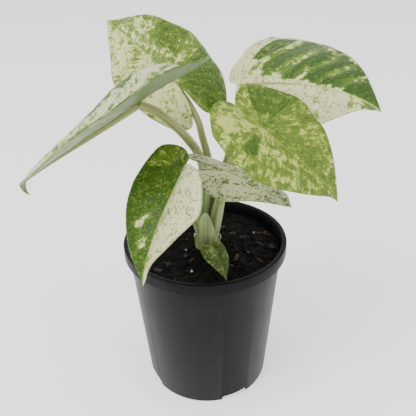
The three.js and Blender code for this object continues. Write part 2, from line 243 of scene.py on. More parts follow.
band_foot = POT_HEIGHT - BAND_HEIGHT
pot_shape = turned([
    (0, 0), (BASE_RADIUS - 0.0012, 0), (BASE_RADIUS - 0.0003, 0.0004), (BASE_RADIUS, 0.0012),
    (WALL_TOP_RADIUS - 0.0001, band_foot - 0.002), (WALL_TOP_RADIUS + 0.0003, band_foot),
    (WALL_TOP_RADIUS + 0.0006, POT_HEIGHT - 0.0018), (RIM_RADIUS - 0.0016, POT_HEIGHT - 0.0018),
    (RIM_RADIUS - 0.0014, band_foot + 0.0003), (RIM_RADIUS - 0.0011, band_foot),
    (RIM_RADIUS - 0.0003, band_foot), (RIM_RADIUS, band_foot + 0.0004),
    (RIM_RADIUS, POT_HEIGHT - 0.0012), (RIM_RADIUS - 0.0003, POT_HEIGHT - 0.0004),
    (RIM_RADIUS - 0.0010, POT_HEIGHT), (RIM_RADIUS - 0.0030, POT_HEIGHT),
    (RIM_RADIUS - 0.0040, POT_HEIGHT - 0.0005), (RIM_RADIUS - 0.0046, POT_HEIGHT - 0.0016),
    (inner_radius(band_foot), band_foot), (inner_radius(0.004), 0.004),
    (inner_radius(0.002) - 0.0015, FLOOR_THICKNESS), (0, FLOOR_THICKNESS),
], POT_STEPS)
pot = finished(pot_shape, "nursery_pot", [])

notch_width, notch_reach, notch_height = NOTCH_SIZE
for number, angle in enumerate(NOTCH_ANGLES):
    cutter = bmesh.new()
    arch = [(-0.5, -0.2), (0.5, -0.2), (0.5, 0.35), (0.46, 0.62), (0.34, 0.85), (0.17, 0.97),
            (0, 1), (-0.17, 0.97), (-0.34, 0.85), (-0.46, 0.62), (-0.5, 0.35)]
    near = -(BASE_RADIUS - notch_reach)
    ring = [cutter.verts.new((x * notch_width, near, z * notch_height)) for x, z in arch]
    face = cutter.faces.new(ring)
    pushed = bmesh.ops.extrude_face_region(cutter, geom=[face])
    moved = [part for part in pushed["geom"] if isinstance(part, bmesh.types.BMVert)]
    bmesh.ops.translate(cutter, verts=moved, vec=(0, -NOTCH_DEPTH, 0))
    bmesh.ops.recalc_face_normals(cutter, faces=cutter.faces)
    turn = Matrix.Rotation(math.radians(angle), 3, "Z")
    bmesh.ops.rotate(cutter, verts=cutter.verts, cent=(0, 0, 0), matrix=turn)
    tool = finished(cutter, f"notch_tool_{number}", [], smooth=False)
    cut = pot.modifiers.new("notch", "BOOLEAN")
    cut.operation = "DIFFERENCE"
    cut.solver = "EXACT"
    cut.object = tool
    view = bpy.context.evaluated_depsgraph_get()
    notched = bpy.data.meshes.new_from_object(pot.evaluated_get(view))
    pot.modifiers.clear()
    pot.data = notched
    bpy.data.objects.remove(tool)
pot.data.shade_smooth()
pot.data.set_sharp_from_angle(angle=math.radians(SHARP_ANGLE))

POT_BLACK = color(13, 14, 17)
POT_DUST = color(62, 62, 64)

plastic = Finish("black pot plastic", roughness=0.42, IOR=1.46, Specular_IOR_Level=0.12)
spot = plastic.object_place()
cloud = plastic.spots(spot, 38, detail=5, roughness=0.62)
smear = plastic.spots(plastic.stretched(spot, (70, 70, 14)), 1, detail=4, roughness=0.6)
specks = plastic.spots(spot, 1300, detail=1)
scratch = plastic.spots(plastic.stretched(spot, (160, 160, 900)), 1, detail=2, distortion=0.4)
height = plastic.make("ShaderNodeSeparateXYZ", None, {"Vector": spot}, output="Z")
rim_dust = (height * (1 / POT_HEIGHT)).ease(0.84, 1.0) * 0.12
dust = cloud.ease(0.45, 0.8) * 0.10 + smear.ease(0.55, 0.8) * 0.08 + rim_dust * cloud.ease(0.4, 0.7)
dust = dust + specks.ease(0.70, 0.78) * 0.16 + scratch.ease(0.70, 0.76) * 0.07
plastic.feed(plastic.shader.inputs["Base Color"], plastic.mix(dust, POT_BLACK, POT_DUST))
plastic.feed(plastic.shader.inputs["Roughness"], cloud * 0.16 + smear * 0.08 + 0.27)
plastic.relief(cloud * 0.6 + scratch * 0.2, 0.12, 0.001)
pot.data.materials.append(plastic.material)
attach(pot, "root")
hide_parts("pot")


# Soil.
# Dark, damp potting mix, its colour made darker still as painted shade from the leaves above, filled to a
# finger below the rim and heaved a little round the stem.
# Crumbs, bark chips, fine roots and white perlite lie loose on it, each in a piece of its own.
SOIL_LEVEL = 0.131
SOIL_HEAVE = 0.0016
SOIL_CROWN = 0.002
SOIL_GAP = 0.0003
SOIL_EDGE_DEPTH = 0.004
SURFACE_DEPTH = 0.001
SOIL_RINGS = 64
SOIL_STEPS = 200
LUMPS_PER_METRE = 210
LUMP_HEIGHT = 0.0011
STEM_X = 0.002
STEM_CLEARANCE = 0.013
SCATTER_RADIUS = 0.060


def soil_height(x, y):
    """The heaved surface, as in the solid model, in metres."""
    east, north = x * 1000, y * 1000
    swell = math.sin(east * 0.13 + 0.6) * math.cos(north * 0.11 - 0.4)
    crumb = math.sin(east * 0.31 - north * 0.23) * math.sin(north * 0.37 + east * 0.12 + 1)
    edge = math.hypot(x, y) / inner_radius(SOIL_LEVEL)
    return SOIL_LEVEL + SOIL_HEAVE * (0.5 * swell + 0.5 * crumb) + SOIL_CROWN * (1 - edge * edge)


soil_edge = inner_radius(SOIL_LEVEL - SOIL_EDGE_DEPTH) - SOIL_GAP
soil_foot = FLOOR_THICKNESS + SOIL_GAP
soil_profile = [(0, soil_foot), (inner_radius(soil_foot) - SOIL_GAP, soil_foot)]
for ring in range(SOIL_RINGS + 1):
    soil_profile.append((soil_edge * (1 - ring / SOIL_RINGS), SOIL_LEVEL))
soil_shape = turned(soil_profile, SOIL_STEPS)
for corner in soil_shape.verts:
    if corner.co.z > SOIL_LEVEL - SURFACE_DEPTH:
        lumps = noise.fractal(corner.co * LUMPS_PER_METRE, 0.8, 2.1, 4) * LUMP_HEIGHT
        corner.co.z = soil_height(corner.co.x, corner.co.y) + lumps
soil = finished(soil_shape, "potting_soil", [])

# Painted shade: both soil colours are darker than the damp mix itself and stand in for the shade the leaves
# cast on it.
SOIL_DARK_WITH_PAINTED_SHADE = color(9, 8, 7)
SOIL_BROWN_WITH_PAINTED_SHADE = color(36, 28, 21)

earth = Finish("damp potting mix with painted shade", roughness=0.9, Specular_IOR_Level=0.2)
spot = earth.object_place()
grain = earth.spots(spot, 520, detail=6, roughness=0.7)
clod = earth.spots(spot, 90, detail=4, roughness=0.6)
brown = (grain * 0.7 + clod * 0.4).ease(0.52, 0.80) * 0.8
earth.feed(earth.shader.inputs["Base Color"], earth.mix(brown, SOIL_DARK_WITH_PAINTED_SHADE, SOIL_BROWN_WITH_PAINTED_SHADE))
earth.feed(earth.shader.inputs["Roughness"], grain * 0.3 + 0.7)
earth.relief(grain + clod * 0.8, 0.8, 0.0012)
soil.data.materials.append(earth.material)
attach(soil, "root")
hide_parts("soil")


def scattered(name, count, seed, make_one, material):
    """A piece of loose bits that make_one adds to a bmesh, each at a place on the soil."""
    draw = random.Random(seed)
    heap = bmesh.new()
    placed = 0
    while placed < count:
        x = draw.uniform(-SCATTER_RADIUS, SCATTER_RADIUS)
        y = draw.uniform(-SCATTER_RADIUS, SCATTER_RADIUS)
        if math.hypot(x, y) > SCATTER_RADIUS or math.hypot(x - STEM_X, y) < STEM_CLEARANCE:
            continue
        before = len(heap.verts)
        make_one(heap, draw)
        heap.verts.ensure_lookup_table()
        turn = Matrix.Rotation(draw.uniform(0, 2 * math.pi), 4, "Z")
        move = Matrix.Translation((x, y, soil_height(x, y)))
        bmesh.ops.transform(heap, matrix=move @ turn, verts=heap.verts[before:])
        placed += 1
    bits = finished(heap, name, [material], smooth=False)
    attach(bits, "root")


def crumb(heap, draw):
    size = draw.uniform(0.0007, 0.0021)
    made = bmesh.ops.create_icosphere(heap, subdivisions=1, radius=size)
    for corner in made["verts"]:
        corner.co *= draw.uniform(0.7, 1.25)
        corner.co.z = corner.co.z * 0.7 + size * 0.1


def chip(heap, draw):
    made = bmesh.ops.create_cube(heap, size=1)["verts"]
    size = Vector((draw.uniform(0.003, 0.008), draw.uniform(0.002, 0.004), draw.uniform(0.0008, 0.0018)))
    lean = Matrix.Rotation(draw.uniform(-0.35, 0.35), 3, "X")
    for corner in made:
        part = Vector([side * reach * draw.uniform(0.75, 1.2) for side, reach in zip(corner.co, size)])
        corner.co = lean @ part + Vector((0, 0, size.z * 0.6))


def pearl(heap, draw):
    size = draw.uniform(0.0006, 0.0013)
    made = bmesh.ops.create_icosphere(heap, subdivisions=2, radius=size)
    for corner in made["verts"]:
        corner.co *= draw.uniform(0.9, 1.1)
        corner.co.z += size * 0.5


bark = Finish("bark chips", roughness=0.85)
bark_grain = bark.spots(bark.stretched(bark.object_place(), (300, 300, 900)), 1, detail=4)
bark.feed(bark.shader.inputs["Base Color"],
          bark.mix(bark_grain.ease(0.35, 0.7), color(22, 16, 12), color(60, 44, 31)))
bark.relief(bark_grain, 0.5, 0.0006)

stone = Finish("perlite", roughness=0.9)
stone_grain = stone.spots(stone.object_place(), 2500, detail=2)
stone.feed(stone.shader.inputs["Base Color"],
           stone.mix(stone_grain, color(150, 144, 132), color(214, 210, 200)))

scattered("soil_crumbs", 900, 3, crumb, earth.material)
scattered("bark_chips", 26, 5, chip, bark.material)
scattered("perlite", 9, 8, pearl, stone.material)


def skin(columns, rows, place, maps=(), shades=(), closed=False):
    """A grid bent so that its point (u, v), both from 0 to 1, comes to place(u, v).

    maps holds the name of each UV map and its rule, shades the same for each attribute.
    closed joins the first and last column, as on a tube.
    """
    shape = bmesh.new()
    bmesh.ops.create_grid(shape, x_segments=columns, y_segments=rows, size=0.5)
    map_layers = [shape.loops.layers.uv.new(map_name) for map_name, _ in maps]
    shade_layers = [shape.verts.layers.float.new(shade_name) for shade_name, _ in shades]
    spots = {corner: (corner.co.x + 0.5, corner.co.y + 0.5) for corner in shape.verts}
    for layer, (_, rule) in zip(map_layers, maps):
        for face in shape.faces:
            for loop in face.loops:
                loop[layer].uv = rule(*spots[loop.vert])
    for layer, (_, rule) in zip(shade_layers, shades):
        for corner in shape.verts:
            corner[layer] = rule(*spots[corner])
    for corner, (u, v) in spots.items():
        corner.co = place(u, v)
    bmesh.ops.remove_doubles(shape, verts=shape.verts, dist=2e-6)
    if closed:
        ends = [edge for edge in shape.edges if edge.is_boundary]
        bmesh.ops.holes_fill(shape, edges=ends, sides=0)
        bmesh.ops.recalc_face_normals(shape, faces=shape.faces)
    return shape


CURVE_STEPS = 12


def flowing(points):
    """A function of 0 to 1 along a smooth curve through the points, and its length."""
    places = [Vector(point) for point in points]
    before = [places[0] * 2 - places[1]] + places + [places[-1] * 2 - places[-2]]
    trail = []
    for first, start, end, last in zip(before, before[1:], before[2:], before[3:]):
        for step in range(CURVE_STEPS):
            t = step / CURVE_STEPS
            pull = (start * 2 + (end - first) * t + (first * 2 - start * 5 + end * 4 - last) * t ** 2
                    + (start * 3 - first - end * 3 + last) * t ** 3) / 2
            trail.append(pull)
    trail.append(places[-1])
    lengths = [0]
    for near, far in zip(trail, trail[1:]):
        lengths.append(lengths[-1] + (far - near).length)

    def at(share):
        goal = min(max(share, 0), 1) * lengths[-1]
        index = next((i for i in range(len(trail) - 1) if lengths[i + 1] >= goal), len(trail) - 2)
        stretch = lengths[index + 1] - lengths[index]
        mixed = (goal - lengths[index]) / stretch if stretch else 0
        return trail[index].lerp(trail[index + 1], mixed), (trail[index + 1] - trail[index]).normalized()

    return at, lengths[-1]


def tube(at, length, radius_at, columns=20, rows=60, start=0, stop=1, ridge=None):
    """A closed tube along a route, to whose radius ridge adds a share at each angle."""
    def place(u, v):
        share = start + (stop - start) * v
        centre, along = at(share)
        level = Vector((0, 1, 0)).cross(along).normalized()
        across = along.cross(level)
        turn = 2 * math.pi * u
        reach = radius_at(share) * (1 + (ridge(turn, share) if ridge else 0))
        return centre + (level * math.cos(turn) + across * math.sin(turn)) * reach
    round_map = ("along", lambda u, v: (u * 0.02, (start + (stop - start) * v) * length))
    return skin(columns, rows, place, maps=[round_map], closed=True)


def add_to(heap, shape):
    """Moves what the second bmesh holds into the first."""
    carrier = bpy.data.meshes.new("carrier")
    shape.to_mesh(carrier)
    shape.free()
    heap.from_mesh(carrier)
    bpy.data.meshes.remove(carrier)


# Fine roots.
# Thread-thin pale brown roots and fibres, which wander over the soil and dip back into it.
ROOT_COUNT = 26
ROOT_RADIUS = 0.00022
ROOT_SPREAD = 0.045
ROOT_TURN = 1.1
ROOT_STEPS = 5
ROOT_STEP_LENGTH = 0.0028
ROOT_ARCH = 0.0008
ROOT_SINK = 0.0006

fibre = Finish("root fibre", roughness=0.8)
fibre_tone = fibre.spots(fibre.object_place(), 400, detail=2)
fibre.feed(fibre.shader.inputs["Base Color"],
           fibre.mix(fibre_tone, color(34, 26, 18), color(84, 66, 46)))

draw = random.Random(21)
thatch = bmesh.new()
for number in range(ROOT_COUNT):
    x = draw.uniform(-ROOT_SPREAD, ROOT_SPREAD)
    y = draw.uniform(-ROOT_SPREAD, ROOT_SPREAD)
    heading = draw.uniform(0, 2 * math.pi)
    bend = draw.uniform(-ROOT_TURN, ROOT_TURN)
    trail = []
    for step in range(ROOT_STEPS + 1):
        lift = ROOT_ARCH * math.sin(math.pi * step / ROOT_STEPS) - ROOT_SINK
        trail.append((x, y, soil_height(x, y) + lift))
        x += math.cos(heading) * ROOT_STEP_LENGTH
        y += math.sin(heading) * ROOT_STEP_LENGTH
        heading += bend * 0.35
    at, length = flowing(trail)
    add_to(thatch, tube(at, length, lambda share: ROOT_RADIUS, 6, 14))
roots = finished(thatch, "fine_roots", [fibre.material])
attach(roots, "root")


# Stem and leaf stalks.
# Six juicy stalks rise out of the corm, each clasped by the sheath of the one outside it,
# and part into arches of their own. They are pale green with darker streaks along them.
CORM_PLACE = (STEM_X, 0)
CORM_RADIUS = 0.0102
CORM_FOOT = 0.108
CORM_MIDDLE = 0.122
CORM_TOP = 0.137
STALK_TIP_GAP = 0.0009
SWELL = 0.3
SWELL_HEIGHT = 0.040
SWELL_SPREAD = 0.017
SHEATH_OVERLAP = 0.01
STALK_COLUMNS = 24
STALK_ROWS = 60
MIDRIB_STEPS = 60

# Each leaf's own sizes. Its base is where the stalk meets the blade, heading, pitch and roll
# stand the midrib, bend, sweep, twist and curl shape it, and the pairs are left and right.
# A bump of the margin has its side, station, spread, lift and the distance it stands out.
# A patch has its side, first and last vein, first and last share outwards and greenness.
LEAVES = {
    "a": {
        "base": (-0.0229, 0.042, 0.2654), "heading": 141.7, "pitch": 33.5,
        "bend": 9.8, "sweep": 1.5, "roll": -14.9, "twist": -33.1,
        "length": 0.0828, "width": (0.0418, 0.0484), "lobe": (0.0406, 0.0431),
        "fold": (1.4, 21.4), "cup": (-12, -51.2), "droop": (38.2, 32.2),
        "curl": -3.2, "curl_from": 0.84, "opens": 0, "sinus": 1,
        "waves": (4, 0.0008, 0.1), "stalk": (0.0024, 0.0044),
        "bumps": [(-1, 0.86, 0.07, 0, 0.0035), (-1, 0.25, 0.06, 0, -0.003),
                  (1, 0.83, 0.03, 0.0008, -0.0015), (1, 0.75, 0.03, -0.0008, 0.0025),
                  (1, 0.685, 0.03, 0.0008, -0.0025), (1, 0.63, 0.03, -0.0006, 0.003),
                  (1, 0.45, 0.05, 0, 0.002)],
        "route": [(0.001, 0.004, 0.12), (0.001, 0.004, 0.137), (0.003, 0.007, 0.16),
                  (0.0056, 0.014, 0.1845), (0.0042, 0.019, 0.2046), (-0.0004, 0.02, 0.225),
                  (-0.0038, 0.029, 0.2358), (-0.012, 0.039, 0.2489)],
        "sheath": 0.5, "quilt": 0.0007, "green": (0.4, 0.62), "specks": 0.75, "spread": 3.6,
        "tones": {"cream": (212, 212, 152), "lime": (170, 184, 88),
                  "green": (106, 130, 46), "deep": (60, 88, 26)},
        "patches": [(1, 1, 5, 0.1, 1, 1), (1, 6.2, 8.2, 0.35, 1, 0.9),
                    (1, 8.2, 10, 0.1, 0.9, 0.48), (1, 10, 13, 0, 1, 0.5),
                    (-1, 0, 4, 0, 0.5, 0.4)],
    },
    "b": {
        "base": (-0.0432, -0.0443, 0.2756), "heading": 201.2, "pitch": -28.4,
        "bend": 11.1, "sweep": -44, "roll": -9.2, "twist": -4.7,
        "length": 0.1155, "width": (0.0364, 0.0485), "lobe": (0.0553, 0.0427),
        "fold": (38.6, 30.5), "cup": (7.7, -77.7), "droop": (13, 34.9),
        "curl": 133.6, "curl_from": 0.86, "opens": 0.7, "sinus": 1,
        "waves": (5, 0.0008, 1.3), "stalk": (0.0029, 0.0046),
        "bumps": [],
        "route": [(-0.0025, 0.001, 0.12), (-0.0025, 0.001, 0.137), (-0.001, 0.0035, 0.162),
                  (0.001, 0.008, 0.1891), (-0.003, 0.012, 0.211), (-0.012, -0.003, 0.2331),
                  (-0.02, -0.017, 0.2486), (-0.032, -0.033, 0.266)],
        "sheath": 0.49, "quilt": 0.0004, "green": (0.5, 0.42), "specks": 0.5, "spread": 3,
        "tones": {"cream": (208, 210, 166), "lime": (160, 180, 100),
                  "green": (90, 116, 50), "deep": (54, 84, 34)},
        "patches": [(1, 3, 7, 0.45, 1, 0.8), (-1, 0, 5, 0, 1, 1.05),
                    (1, 9.5, 13, 0, 1, 0.25), (-1, 9.5, 13, 0, 1, 0.25)],
    },
    "c": {
        "base": (0.0297, 0.0129, 0.2696), "heading": -33.7, "pitch": 13.2,
        "bend": 24.5, "sweep": -18.5, "roll": 50.3, "twist": -21.3,
        "length": 0.1186, "width": (0.0614, 0.0464), "lobe": (0.0159, 0.005),
        "fold": (-3.1, -17.7), "cup": (-44.8, -17.4), "droop": (23.6, 8.1),
        "curl": 13.6, "curl_from": 0.84, "opens": -0.35, "sinus": 1,
        "waves": (6, 0.001, 0.4), "stalk": (0.0029, 0.0048),
        "bumps": [(-1, 0.31, 0.015, 0, 0.002), (-1, 0.36, 0.025, 0.0008, -0.005),
                  (-1, 0.505, 0.02, 0, 0.004), (-1, 0.535, 0.012, 0.0012, -0.005),
                  (-1, 0.565, 0.015, -0.0008, 0.0015), (-1, 0.6, 0.015, 0.001, -0.0025),
                  (-1, 0.64, 0.02, -0.001, 0.0025), (-1, 0.685, 0.015, 0.001, -0.003),
                  (-1, 0.2, 0.05, 0, -0.003)],
        "route": [(0.0055, 0.003, 0.12), (0.0055, 0.003, 0.137), (0.009, 0.008, 0.16),
                  (0.014, 0.014, 0.184), (0.022, 0.02, 0.209), (0.031, 0.024, 0.234),
                  (0.035, 0.02, 0.254)],
        "sheath": 0.47, "quilt": 0.0016, "green": (0.22, 0.26), "specks": 0.55, "spread": 3,
        "tones": {"cream": (212, 212, 160), "lime": (160, 178, 76),
                  "green": (90, 118, 42), "deep": (48, 78, 22)},
        "patches": [(-1, 5.4, 14, 0.1, 1, 0.55), (-1, 3, 3.9, 0.86, 1, 1),
                    (-1, 4.3, 5.5, 0.34, 1, 1), (-1, 5.7, 6.8, 0.18, 1, 1),
                    (-1, 6.95, 7.85, 0.1, 1, 1.05), (-1, 8, 8.9, 0.05, 1, 1.05),
                    (-1, 9.05, 9.9, 0.03, 1, 1.1), (-1, 10.05, 14, 0.02, 1, 1.15),
                    (1, 10.5, 14, 0, 1, 0.5)],
    },
    "d": {
        "base": (0.0378, -0.064, 0.2643), "heading": -33.5, "pitch": -29,
        "bend": 16.5, "sweep": 12.6, "roll": 1.4, "twist": 15.2,
        "length": 0.0704, "width": (0.0414, 0.0411), "lobe": (0.0297, 0.0297),
        "fold": (15.1, 9.8), "cup": (-2.3, -28.8), "droop": (-8.9, -8.9),
        "curl": 21.6, "curl_from": 0.84, "opens": 0.01, "sinus": 0.35,
        "waves": (4, 0.0008, 2.2), "stalk": (0.0027, 0.0044),
        "bumps": [(-1, 0.62, 0.04, -0.0006, -0.002), (1, 0.42, 0.03, 0.0005, 0.0015),
                  (1, 0.72, 0.1, 0, 0.002), (-1, 0.5, 0.03, 0.0007, 0),
                  (1, 0.58, 0.03, 0.0007, -0.001)],
        "route": [(0.0065, -0.001, 0.12), (0.0065, -0.001, 0.137), (0.01, 0.0015, 0.16),
                  (0.015, 0.004, 0.182), (0.0203, 0.003, 0.2), (0.026, -0.003, 0.219),
                  (0.032, -0.017, 0.236), (0.038, -0.042, 0.253)],
        "sheath": 0.45, "quilt": 0.0007, "green": (0.66, 0.58), "specks": 0.6, "spread": 3.8,
        "tones": {"cream": (184, 192, 98), "lime": (144, 162, 56),
                  "green": (100, 124, 38), "deep": (56, 84, 22)},
        "patches": [(-1, 1.5, 4, 0.3, 1, 0.95), (1, 4.2, 5.6, 0.3, 0.75, 1.05),
                    (1, 0.5, 3.4, 0.1, 0.9, 0.4), (-1, 6.5, 8, 0.4, 1, 0.5)],
    },
    "e": {
        "base": (-0.0125, -0.05, 0.2306), "heading": -141.2, "pitch": -52,
        "bend": -35, "sweep": 49.8, "roll": 33.8, "twist": -8.1,
        "length": 0.0911, "width": (0.0473, 0.0339), "lobe": (0.0032, 0.0083),
        "fold": (6.6, 19.8), "cup": (-24.9, 40.3), "droop": (6.4, 31.3),
        "curl": 31.2, "curl_from": 0.84, "opens": -0.61, "sinus": 1,
        "waves": (4, 0.0007, 1), "stalk": (0.0025, 0.0044),
        "bumps": [(-1, 0.84, 0.07, 0, -0.005), (-1, 0.72, 0.05, 0.0005, -0.0015),
                  (1, 0.7, 0.06, 0.0004, -0.0015), (1, 0.6, 0.02, -0.0005, 0.001)],
        "route": [(-0.001, -0.0035, 0.12), (-0.001, -0.0035, 0.137), (-0.0035, -0.008, 0.153),
                  (-0.0075, -0.015, 0.172), (-0.011, -0.026, 0.192), (-0.012, -0.037, 0.21)],
        "sheath": 0.35, "quilt": 0.0007, "green": (0.22, 1), "specks": 0.85, "spread": 3.2,
        "tones": {"cream": (212, 211, 164), "lime": (156, 174, 78),
                  "green": (96, 124, 38), "deep": (52, 82, 20)},
        "patches": [(1, 7.5, 8, 0.32, 0.62, 0.05), (1, 7.8, 8.4, 0.5, 0.8, 0.1),
                    (1, 8.8, 9.3, 0.3, 0.6, 0.28), (1, 9.2, 9.8, 0.2, 0.7, 0.3),
                    (1, 1.2, 4.6, 0.35, 1, 0.66), (-1, 10, 14, 0, 1, 0.4)],
    },
    "f": {
        "base": (0.0184, -0.036, 0.2192), "heading": -33.4, "pitch": -9.4,
        "bend": -8, "sweep": -26.2, "roll": -2.9, "twist": -3.2,
        "length": 0.0606, "width": (0.0264, 0.0344), "lobe": (0.042, 0.018),
        "fold": (3.5, -1.5), "cup": (-43, -2.3), "droop": (12.5, 5.4),
        "curl": 1.2, "curl_from": 0.84, "opens": -0.01, "sinus": 0.25,
        "waves": (4, 0.0008, 0.6), "stalk": (0.0028, 0.0046),
        "bumps": [(-1, 0.6, 0.04, 0.0006, -0.001), (1, 0.68, 0.05, -0.0006, 0.001)],
        "route": [(0.0045, -0.004, 0.12), (0.0045, -0.004, 0.137), (0.0085, -0.005, 0.156),
                  (0.011, -0.008, 0.173), (0.014, -0.014, 0.19), (0.0165, -0.026, 0.205)],
        "sheath": 0.56, "quilt": 0.0004, "green": (0.3, 0.34), "specks": 1, "spread": 3.4,
        "tones": {"cream": (206, 208, 164), "lime": (150, 164, 88),
                  "green": (84, 106, 44), "deep": (56, 80, 30)},
        "patches": [(1, 4, 6, 0.2, 0.8, 0.5)],
    },
}
YOUNG_LEAF = {
    "base": (0.006, -0.027, 0.1475), "heading": -68, "pitch": -14,
    "bend": 8, "sweep": -8, "roll": 0, "twist": 0,
    "length": 0.035, "width": (0.0095, 0.011), "lobe": (0.005, 0.005),
    "fold": (12, 12), "cup": (-25, -25), "droop": (0, 0),
    "curl": 0, "curl_from": 0.84, "opens": 0, "sinus": 1,
    "waves": (3, 0.0004, 6), "stalk": (0.0012, 0.002),
    "bumps": [],
    "route": [(0.005, -0.016, 0.118), (0.005, -0.0165, 0.134), (0.0053, -0.019, 0.142)],
    "quilt": 0.0003, "green": (0.6, 0.6),
    "tones": {"cream": (150, 158, 104), "lime": (112, 128, 64),
              "green": (66, 86, 36), "deep": (42, 62, 24)},
    "patches": [],
}


def midrib(leaf):
    """The midrib's place, direction, right hand and upper side at each of its stations."""
    base_place = Vector(leaf["base"])
    stations = []
    for i in range(MIDRIB_STEPS + 1):
        u = i / MIDRIB_STEPS
        tip_share = max(0, (u - leaf["curl_from"]) / (1 - leaf["curl_from"]))
        heading = math.radians(leaf["heading"] + leaf["sweep"] * u)
        pitch = math.radians(leaf["pitch"] - leaf["bend"] * u ** 1.4 - leaf["curl"] * tip_share ** 1.5)
        roll = math.radians(leaf["roll"] + leaf["twist"] * u)
        along = Vector((math.cos(pitch) * math.cos(heading), math.cos(pitch) * math.sin(heading),
                        math.sin(pitch)))
        level = Vector((math.sin(heading), -math.cos(heading), 0))
        above = level.cross(along)
        right = level * math.cos(roll) - above * math.sin(roll)
        up = above * math.cos(roll) + level * math.sin(roll)
        if stations:
            base_place = base_place + (along + stations[-1][1]) * leaf["length"] / (2 * MIDRIB_STEPS)
        stations.append((base_place, along, right, up))
    return stations


def midrib_at(leaf, stations, a):
    place = min(max(a / leaf["length"], 0), 1) * MIDRIB_STEPS
    low = min(int(place), MIDRIB_STEPS - 1)
    return [stations[low][k].lerp(stations[low + 1][k], place - low) for k in range(4)]


def sheath_tone(finish, pale, green, streak):
    """Streaks that run along a stalk, from its own map round and along it."""
    place = finish.make("ShaderNodeUVMap", {"uv_map": "along"})
    fine = finish.spots(finish.stretched(place, (900, 26, 1)), 1, detail=3, roughness=0.6)
    broad = finish.spots(finish.stretched(place, (240, 9, 1)), 1, detail=2)
    tone = finish.mix(broad.ease(0.38, 0.62), pale, green)
    return finish.mix(fine.ease(0.50, 0.75) * 0.7, tone, streak), fine


stalk_skin = Finish("leaf stalk", roughness=0.38, IOR=1.42, Subsurface_Weight=0.08)
stalk_skin.shader.inputs["Subsurface Radius"].default_value = (0.004, 0.005, 0.002)
tone, streaks = sheath_tone(stalk_skin, color(160, 160, 106), color(124, 132, 72), color(84, 100, 40))
stalk_skin.feed(stalk_skin.shader.inputs["Base Color"], tone)
stalk_skin.feed(stalk_skin.shader.inputs["Roughness"], streaks * 0.2 + 0.3)
stalk_skin.relief(streaks, 0.25, 0.0005)

sheath_skin = Finish("clasping sheath", roughness=0.4, IOR=1.42, Subsurface_Weight=0.08)
sheath_skin.shader.inputs["Subsurface Radius"].default_value = (0.004, 0.005, 0.002)
tone, streaks = sheath_tone(sheath_skin, color(172, 182, 134), color(124, 142, 84), color(84, 106, 46))
sheath_skin.feed(sheath_skin.shader.inputs["Base Color"], tone)
sheath_skin.feed(sheath_skin.shader.inputs["Roughness"], streaks * 0.2 + 0.3)
sheath_skin.relief(streaks, 0.3, 0.0006)

bundle = bmesh.new()
for leaf_name, leaf in LEAVES.items():
    stations = midrib(leaf)
    leaf["stations"] = stations
    top = Vector(leaf["base"]) - stations[0][3] * STALK_TIP_GAP
    at, length = flowing(leaf["route"] + [top])
    top_radius, foot_radius = leaf["stalk"]
    split = leaf["sheath"]

    def stalk_radius(share, thin=top_radius, thick=foot_radius, run=length):
        swell = 1 + SWELL * math.exp(-((share * run - SWELL_HEIGHT) / SWELL_SPREAD) ** 2)
        return (thick + (thin - thick) * share) * swell

    def stalk_ridge(turn, share):
        return 0.03 * math.cos(turn * 3 + share * 2) + 0.015 * math.sin(turn * 7)

    add_to(bundle, tube(at, length, stalk_radius, STALK_COLUMNS, STALK_ROWS,
                        0, split + SHEATH_OVERLAP, stalk_ridge))
    stalk_shape = tube(at, length, stalk_radius, STALK_COLUMNS, STALK_ROWS, split, 1, stalk_ridge)
    stalk = finished(stalk_shape, f"leaf_stalk_{leaf_name}", [stalk_skin.material])
    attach(stalk, "root")
    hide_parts(f"stalk_{leaf_name}")

corm_at, corm_length = flowing([(*CORM_PLACE, z) for z in (CORM_FOOT, CORM_MIDDLE, CORM_TOP)])
add_to(bundle, tube(corm_at, corm_length, lambda share: CORM_RADIUS * (1 - 0.08 * share), 40, 20,
                    ridge=lambda turn, share: 0.03 * math.sin(turn * 5 + 1) + 0.02 * math.cos(turn * 9)))
sheaths = finished(bundle, "clasping_sheaths", [sheath_skin.material])
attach(sheaths, "root")
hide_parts("stem")


# Front sheath.
# A pale sheath clasps the front of the stalks just over the soil. Its upper edge rises to a
# point near the middle, and it hides the gap between the two nearest stalks.
SHEATH_FOOT = 0.1325
SHEATH_EDGE = 0.009
SHEATH_PEAK = 0.036
SHEATH_CENTRE = (0.0022, -0.0012)
SHEATH_WALL = 0.0007
SHEATH_ARC = (-25, 205)
SHEATH_MIDDLE = 0.54
SHEATH_POINT_WIDTH = 0.17
SHEATH_OPENS_ABOVE = 0.138
SHEATH_RADII = (0.0107, 0.0106)


def sheath_place(u, v):
    first, last = SHEATH_ARC
    turn = math.radians(first + (last - first) * u)
    peak = math.exp(-((u - SHEATH_MIDDLE) / SHEATH_POINT_WIDTH) ** 2)
    height = SHEATH_FOOT + v * (SHEATH_EDGE + SHEATH_PEAK * peak)
    spread = max(0, height - SHEATH_OPENS_ABOVE)
    half_width = SHEATH_RADII[0] + spread * 0.06 + 0.0004 * v ** 6
    depth = SHEATH_RADII[1] + spread * 0.26 + 0.0006 * v ** 6
    x = SHEATH_CENTRE[0] + half_width * math.cos(turn) + spread * 0.02
    return Vector((x, SHEATH_CENTRE[1] - depth * math.sin(turn), height))


def sheath_map(u, v):
    return u * 0.03, v * 0.03


shape = skin(36, 14, sheath_place, maps=[("along", sheath_map)])
front_sheath = finished(shape, "front_sheath", [sheath_skin.material])
wall = front_sheath.modifiers.new("thickness", "SOLIDIFY")
wall.thickness = SHEATH_WALL
wall.offset = 0
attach(front_sheath, "root")


